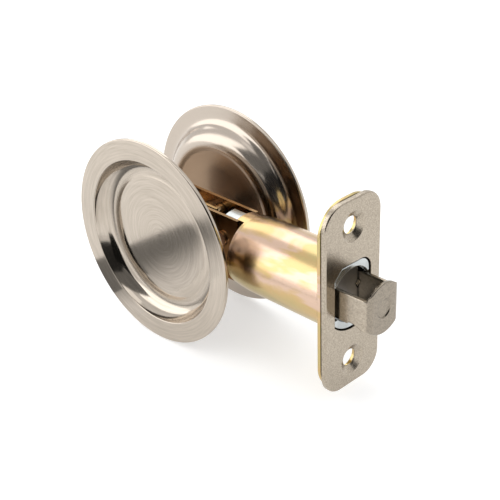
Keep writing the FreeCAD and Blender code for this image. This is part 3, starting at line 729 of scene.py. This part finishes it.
def grain_group():
    """Grain of a metal surface: fine noise of a given scale, and slow noise for the clouds over it."""
    name = "fine_grain"
    if name in bpy.data.node_groups:
        return bpy.data.node_groups[name]
    group, tree, vector, scale = node_group(name, 4000.0, {"Grain": "Float", "Cloud": "Float"})
    fine = tree.add("ShaderNodeTexNoise", {"Vector": vector, "Scale": scale},
                    {"Detail": 3.0, "Roughness": 0.6})
    slow = tree.add("ShaderNodeTexNoise", {"Vector": vector}, {"Scale": 130.0, "Detail": 2.0})
    tree.add("NodeGroupOutput", {"Grain": fine.outputs["Fac"], "Cloud": slow.outputs["Fac"]})
    return group


def rings_group():
    """Brushed rings about Y: noise read at (radius * scale, a little of X and Z), so grooves run round Y.

    Rings is fine and Broad is coarser. Turn is 1 where the floor turns up into the wall and falls to 0 on
    both sides. Outside goes from 0 on the floor to 1 beyond the ring.
    """
    name = "brushed_rings"
    if name in bpy.data.node_groups:
        return bpy.data.node_groups[name]
    floats = {label: "Float" for label in ("Rings", "Broad", "Turn", "Outside")}
    group, tree, vector, scale = node_group(name, 6000.0, floats)
    parts = tree.add("ShaderNodeSeparateXYZ", {"Vector": vector})
    square = tree.maths("ADD", tree.maths("MULTIPLY", parts.outputs["X"], parts.outputs["X"]),
                        tree.maths("MULTIPLY", parts.outputs["Z"], parts.outputs["Z"]))
    radius = tree.maths("SQRT", square, 0.0)
    outputs = []
    for share, sideways in ((1.0, 260.0), (0.4, 120.0)):
        scaled = tree.maths("MULTIPLY", tree.maths("MULTIPLY", radius, scale), share)
        place = tree.add("ShaderNodeCombineXYZ", {
            "X": scaled, "Y": tree.maths("MULTIPLY", parts.outputs["X"], sideways),
            "Z": tree.maths("MULTIPLY", parts.outputs["Z"], sideways)})
        outputs.append(tree.add("ShaderNodeTexNoise", {"Vector": place.outputs["Vector"]},
                                {"Scale": 1.0, "Detail": 2.0}).outputs["Fac"])
    cup = sizes("cup_sizes")
    ring = cup.recess_radius - cup.cove_width
    turn_middle, turn_reach, floor_back_edge = ring - 0.6 * MM, 2.4 * MM, ring - 1.5 * MM
    outside = tree.ranged(radius, floor_back_edge, ring, 0.0, 1.0, "SMOOTHSTEP")
    apart = tree.maths("ABSOLUTE", tree.maths("SUBTRACT", radius, turn_middle), 0.0)
    turn = tree.ranged(apart, 0.0, turn_reach, 1.0, 0.0, "SMOOTHSTEP")
    tree.add("NodeGroupOutput", {"Rings": outputs[0], "Broad": outputs[1], "Turn": turn, "Outside": outside})
    return group


def tint_group():
    """Tints of yellow zinc: slow noise plus a little height, spread by a ramp over green, gold and rose."""
    name = "zinc_tints"
    if name in bpy.data.node_groups:
        return bpy.data.node_groups[name]
    group, tree, vector, scale = node_group(name, 105.0, {"Color": "Color"})
    finish = sizes("finish_colours")
    slow = tree.add("ShaderNodeTexNoise", {"Vector": vector, "Scale": scale},
                    {"Detail": 3.0, "Roughness": 0.55, "Distortion": 0.6})
    height = tree.add("ShaderNodeSeparateXYZ", {"Vector": vector}).outputs["Z"]
    lift = tree.ranged(height, -8 * MM, 22 * MM, -0.2, 0.2)
    calm = tree.spread(slow.outputs["Fac"], 0.15, 0.85)
    bands = [(0.26, finish.green), (0.40, finish.gold), (0.48, finish.rose),
             (0.53, finish.rose), (0.59, finish.gold), (0.72, finish.green)]
    tint = tree.ramp(tree.maths("ADD", calm, lift), bands)
    tree.add("NodeGroupOutput", {"Color": tint})
    return group


def new_material(name, metallic=1.0):
    """Material with a Principled shader, and its tree, the shader and the Object coordinates."""
    material = bpy.data.materials.new(name)
    material.use_nodes = True
    tree = Tree(material.node_tree)
    shader = material.node_tree.nodes["Principled BSDF"]
    shader.inputs["Metallic"].default_value = metallic
    place = tree.add("ShaderNodeTexCoord")
    return material, tree, shader, place.outputs["Object"]


def painted_gap_shade(tree, tone):
    """Painted shade: colour times the open share of the view from a point, to the power 1.5, so narrow gaps go
    dark.
    """
    # Ambient occlusion scales the colour down: painted shade where parts meet and in narrow gaps.
    occlusion = tree.add("ShaderNodeAmbientOcclusion", {}, {"Distance": 0.6 * MM}, samples=8)
    return tree.scaled(tone, tree.maths("POWER", occlusion.outputs["AO"], 1.5))


def ringed_nickel():
    """Satin nickel brushed in rings about the cup's axis."""
    name = "nickel_brushed_in_rings"
    if name in bpy.data.materials:
        return bpy.data.materials[name]
    finish = sizes("finish_colours")
    material, tree, shader, place = new_material(name)
    rings = tree.add("ShaderNodeGroup", {"Vector": place}, node_tree=rings_group())
    brushed = tree.spread(rings.outputs["Rings"], 0.08, 0.15)
    coarser = tree.maths("MULTIPLY", rings.outputs["Turn"], 0.16)
    across = tree.add("ShaderNodeVectorMath", {0: place}, {1: (0.0, 1.0, 0.0)}, operation="CROSS_PRODUCT")
    around = tree.add("ShaderNodeVectorMath", {0: across.outputs["Vector"]}, operation="NORMALIZE")
    tree.feed(shader, {
        "Base Color": tree.ramp(rings.outputs["Broad"], [(0.2, finish.nickel_dark), (0.8, finish.nickel)]),
        "Roughness": tree.maths("ADD", brushed, coarser),
        "Normal": tree.bump(rings.outputs["Rings"], 0.05, 0.03 * MM),
        "Tangent": around.outputs["Vector"],
    }, {"Anisotropic": 0.5})
    return material


def plain_nickel():
    """Satin nickel with a fine tumbled grain, and painted shade that darkens the pull's end plate."""
    name = "nickel_satin"
    if name in bpy.data.materials:
        return bpy.data.materials[name]
    finish = sizes("finish_colours")
    material, tree, shader, place = new_material(name)
    grain = tree.add("ShaderNodeGroup", {"Vector": place}, {"Scale": 3200.0}, node_tree=grain_group())
    tone = tree.ramp(grain.outputs["Grain"], [(0.3, finish.plate_dark), (0.62, finish.plate)])
    x = tree.add("ShaderNodeSeparateXYZ", {"Vector": place}).outputs["X"]
    # Painted shade: the colour falls to 0.7 of itself over the pull's end plate.
    start = pull_high[0] - sizes("pull_sizes").sheet
    painted_end_shade = tree.ranged(x, start, start + 0.5 * MM, 1.0, 0.7)
    tree.feed(shader, {
        # Painted shade darkens the base colour in narrow gaps and over the pull's end plate.
        "Base Color": painted_gap_shade(tree, tree.scaled(tone, painted_end_shade)),
        "Roughness": tree.spread(grain.outputs["Cloud"], 0.20, 0.30),
        "Normal": tree.bump(grain.outputs["Grain"], 0.25, 0.04 * MM),
    })
    return material


def inner_nickel():
    """Nickel on the backs of the cups: smooth, and darker and browner behind the floor."""
    name = "nickel_inside"
    if name in bpy.data.materials:
        return bpy.data.materials[name]
    finish = sizes("finish_colours")
    material, tree, shader, place = new_material(name)
    rings = tree.add("ShaderNodeGroup", {"Vector": place}, node_tree=rings_group())
    smeared = tree.spread(rings.outputs["Broad"], 0.26, 0.38)
    polished = tree.maths("MULTIPLY", rings.outputs["Outside"], 0.13)
    tree.feed(shader, {
        # Darker and browner behind the floor, plain nickel beyond the ring.
        "Base Color": tree.ramp(rings.outputs["Outside"], [(0.0, finish.cup_floor_back), (1.0, finish.cup_back)]),
        "Roughness": tree.maths("SUBTRACT", smeared, polished),
    })
    return material


def yellow_zinc():
    """Glossy yellow zinc plate with rose and green tints."""
    name = "zinc_yellow"
    if name in bpy.data.materials:
        return bpy.data.materials[name]
    material, tree, shader, place = new_material(name)
    drawn = tree.add("ShaderNodeMapping", {"Vector": place}, {"Scale": (0.35, 1.0, 1.6)})
    tint = tree.add("ShaderNodeGroup", {"Vector": drawn.outputs["Vector"]}, node_tree=tint_group())
    grain = tree.add("ShaderNodeGroup", {"Vector": place}, node_tree=grain_group())
    tree.feed(shader, {
        # Painted shade darkens the tints in narrow gaps.
        "Base Color": painted_gap_shade(tree, tint.outputs["Color"]),
        "Roughness": tree.spread(grain.outputs["Cloud"], 0.17, 0.29),
        "Normal": tree.bump(grain.outputs["Cloud"], 0.15, 0.1 * MM),
    })
    return material


def plain_metal(name, tone, roughness):
    """Cast or drawn metal: one colour clouded by grain, with uneven roughness."""
    if name in bpy.data.materials:
        return bpy.data.materials[name]
    material, tree, shader, place = new_material(name)
    grain = tree.add("ShaderNodeGroup", {"Vector": place}, {"Scale": 1500.0}, node_tree=grain_group())
    dark = [0.72 * part for part in tone]
    tree.feed(shader, {
        # Painted shade darkens the grain's colour in narrow gaps.
        "Base Color": painted_gap_shade(tree, tree.ramp(grain.outputs["Cloud"], [(0.35, dark), (0.6, tone)])),
        "Roughness": tree.spread(grain.outputs["Grain"], roughness - 0.06, roughness + 0.08),
        "Normal": tree.bump(grain.outputs["Grain"], 0.2, 0.05 * MM),
    })
    return material


def bright_zinc():
    """Bright casting of the guide and the plug."""
    return plain_metal("zinc_bright", sizes("finish_colours").casting, 0.22)


class FinishFramePieces(bpy.types.Operator):
    """Finishes of the tube, fork and inner pieces, which keep their shape from the frame"""
    bl_idname = "latch_set.frame_finishes"
    bl_label = "Finish frame pieces"

    def execute(self, context):
        finish = sizes("finish_colours")
        finishes = {
            "yellow_zinc": yellow_zinc(),
            "satin_nickel": plain_nickel(),
            # Fork finish: a copper tint, and painted shade in its darker colour.
            "fork": plain_metal("zinc_fork", finish.fork, 0.15),
            "bright_zinc": bright_zinc(),
            "dull_zinc": plain_metal("zinc_dull", finish.dull, 0.4),
            "plain_steel": plain_metal("steel_plain", finish.steel, 0.3),
            "spring_steel": plain_metal("steel_spring", finish.steel, 0.2),
        }
        slots = {part["node"]: part["material_slot"] for part in frame["record"]["subparts"]}
        # The arms and rivets between the cups take the fork's darker finish: painted shade on top of their
        # tint.
        slots.update({node: "fork" for node in ("near_arm", "far_arm", "fork_rivets")})
        for node, piece in frame["nodes"].items():
            for slot in piece.material_slots:
                slot.material = finishes[slots[node]]
        return {"FINISHED"}


def glowing_material(name, tone):
    """Material of the stage: one matt grey that gives off white light of a strength yet to be linked."""
    material, tree, shader, place = new_material(name, metallic=0.0)
    tree.feed(shader, {}, {
        "Base Color": (tone, tone, tone, 1.0), "Specular IOR Level": 0.0,
        "Emission Color": (1.0, 1.0, 1.0, 1.0),
    })
    return material, tree, shader, place


def seen_directly(tree):
    """1 for rays from the camera, from a glossy surface or through glass, and 0 for the rest."""
    rays = tree.add("ShaderNodeLightPath")
    mirrored = tree.maths("MAXIMUM", rays.outputs["Is Glossy Ray"], rays.outputs["Is Transmission Ray"])
    return tree.maths("MAXIMUM", rays.outputs["Is Camera Ray"], mirrored)


class BuildStage(bpy.types.Operator):
    """Pale floor, even white surround, soft lamps and the camera"""
    bl_idname = "latch_set.stage"
    bl_label = "Stage"

    around = ((-1, -1), (1, -1), (1, 1), (-1, 1))

    def execute(self, context):
        studio = sizes("studio_sizes")
        self.add_floor(studio)
        self.add_cards()
        self.add_world(studio)
        self.add_lamps()
        self.add_camera(studio)
        context.scene.view_settings.view_transform = "Standard"
        return {"FINISHED"}

    def add_sheet(self, name, corners, material):
        """Flat sheet of the stage between four corners."""
        mesh = bpy.data.meshes.new(name)
        mesh.from_pydata(corners, [], [(0, 1, 2, 3)])
        mesh.materials.append(material)
        item = add_object(name, mesh)
        return item

    def add_floor(self, studio):
        """Pale floor at the foot of the cups, which adds some light of its own where it is seen directly."""
        material, tree, shader, _ = glowing_material("floor_white", 0.72)
        lift = tree.maths("MULTIPLY", seen_directly(tree), studio.floor_lift)
        tree.feed(shader, {"Emission Strength": lift}, {"Roughness": 0.9})
        reach, height = studio.floor, cup_low[2]
        corners = [(reach * x, reach * y, height) for x, y in self.around]
        self.add_sheet("floor", corners, material)

    def add_cards(self):
        """Grey cards that only reflections show, glowing rather than lit: three lying on the floor as a
        painted shadow of the object, and three standing by the camera.

        A lying card is given by its height above the floor, how bright it is at its left and right, and its
        corners in millimetres. A standing card is given by its direction from the set, how far it reaches to
        each side and up and down, all in degrees, its distance, and how bright it is next to white.
        """
        # Painted shadow: dark cards on the floor, seen only in reflections, where the object's shadow would
        # lie.
        lying = [
            ("near_strip", 0.2, 0.27, 1.1, [(-46.1, -77), (-12, -77), (-12, -20), (-52, -20)]),
            ("far_strip", 0.2, 0.6, 1.1, [(-37.5, -160), (-12, -160), (-12, -77), (-46.1, -77)]),
            ("rim_card", 0.4, 0.25, 0.25, [(-50.5, -34.5), (-28.4, -28.5), (-28.4, -15), (-52.5, -15)]),
        ]
        for name, lift, dark, pale, corners in lying:
            self.add_card(name, [(x * MM, y * MM, cup_low[2] + lift * MM) for x, y in corners], dark, pale)
        standing = [
            ("black_card", -68, 9, 22, 20, 0.24, 0.01),
            ("dark_card", -15, 27, 40, 21, 0.55, 0.03),
            ("grey_card", -45, 52, 52, 18, 0.65, 0.22),
        ]
        for name, turn, rise, half_width, half_height, distance, shade in standing:
            turn, rise = math.radians(turn), math.radians(rise)
            ahead = math.cos(rise)
            outward = np.array([ahead * math.cos(turn), ahead * math.sin(turn), math.sin(rise)])
            across = np.array([-math.sin(turn), math.cos(turn), 0.0])
            aside = across * math.tan(math.radians(half_width))
            upward = np.cross(outward, across) * math.tan(math.radians(half_height))
            corners = [distance * (outward + u * aside + v * upward) for u, v in self.around]
            self.add_card(name, corners, shade, shade)

    def add_card(self, name, corners, dark, pale):
        """Card that glows with one strength up to X = -40 mm and another from X = -16 mm, so a painted shadow
        on a lying card fades out towards +X.
        """
        material, tree, shader, place = glowing_material(name, 0.0)
        x = tree.add("ShaderNodeSeparateXYZ", {"Vector": place}).outputs["X"]
        glow = tree.ranged(x, -40 * MM, -16 * MM, dark, pale, "SMOOTHSTEP")
        tree.feed(shader, {"Emission Strength": glow})
        card = self.add_sheet(name, [tuple(corner) for corner in corners], material)
        card.visible_camera = False
        card.visible_diffuse = False
        card.visible_shadow = False

    def add_world(self, studio):
        """White surround, and a fill of even light on surfaces that aren't mirrors."""
        world = bpy.data.worlds.new("studio")
        bpy.context.scene.world = world
        world.use_nodes = True
        tree = Tree(world.node_tree)
        background = world.node_tree.nodes["Background"]
        strength = tree.spread(seen_directly(tree), studio.fill, 1.0)
        tree.feed(background, {"Strength": strength}, {"Color": (1.0, 1.0, 1.0, 1.0)})

    def add_lamps(self):
        """Soft boxes, each given by its place, its size and how bright its face is next to white."""
        lamps = [
            ("left_box", (-0.56, -0.62, 0.36), 1.5, 0.8, 1.4),
            ("back_box", (-0.61, 0.36, 0.55), 0.8, 0.6, 1.3),
            ("top_box", (0.15, 0.10, 1.00), 0.8, 0.8, 0.6),
        ]
        for name, place, width, height, brightness in lamps:
            light = bpy.data.lights.new(name, "AREA")
            light.shape = "RECTANGLE"
            light.size = width
            light.size_y = height
            light.energy = brightness * math.pi * width * height
            lamp = add_object(name, light)
            lamp.location = place
            lamp.rotation_euler = (-lamp.location).to_track_quat("-Z", "Z").to_euler()

    def add_camera(self, studio):
        """Camera that shows the set as the photograph does."""
        data = bpy.data.cameras.new("photo_camera")
        data.lens = studio.lens
        data.sensor_width = 36.0
        data.sensor_fit = "HORIZONTAL"
        data.clip_start = 0.01
        data.clip_end = 10.0
        camera = add_object("photo_camera", data)
        turn = (Matrix.Rotation(studio.yaw, 4, "Z") @ Matrix.Rotation(math.pi / 2 - studio.pitch, 4, "X")
                @ Matrix.Rotation(studio.roll, 4, "Z"))
        camera.matrix_world = Matrix.Translation(studio.place) @ turn
        bpy.context.scene.camera = camera


class LatchSetPanel(bpy.types.Panel):
    """Sizes, finishes and build steps of the latch set"""
    bl_idname = "VIEW3D_PT_latch_set"
    bl_label = "Latch set"
    bl_space_type = "VIEW_3D"
    bl_region_type = "UI"
    bl_category = "Latch set"

    def draw(self, context):
        layout = self.layout
        for step in build_steps:
            layout.operator(step.bl_idname)
        for name in property_groups:
            group = getattr(context.scene, name)
            box = layout.box()
            box.label(text=name.replace("_", " ").capitalize())
            for key in group.__annotations__:
                box.prop(group, key)


property_groups = {
    "cup_sizes": CupSizes, "plate_sizes": PlateSizes, "guide_sizes": GuideSizes, "pull_sizes": PullSizes,
    "finish_colours": FinishColours, "studio_sizes": StudioSizes,
}
build_steps = [
    BuildStage, BuildCups, BuildBackingPlate, BuildFaceplate, BuildGuide, BuildPull, FinishFramePieces,
]


def register():
    for name, group in property_groups.items():
        bpy.utils.register_class(group)
        setattr(bpy.types.Scene, name, PointerProperty(type=group))
    for item in build_steps + [LatchSetPanel]:
        bpy.utils.register_class(item)


def unregister():
    for item in [LatchSetPanel] + build_steps[::-1]:
        bpy.utils.unregister_class(item)
    for name, group in property_groups.items():
        delattr(bpy.types.Scene, name)
        bpy.utils.unregister_class(group)


def main():
    register()
    bpy.ops.latch_set.stage()
    bpy.ops.latch_set.cups()
    bpy.ops.latch_set.backing_plate()
    bpy.ops.latch_set.faceplate()
    bpy.ops.latch_set.guide()
    bpy.ops.latch_set.pull()
    bpy.ops.latch_set.frame_finishes()


if __name__ == "__main__":
    main()
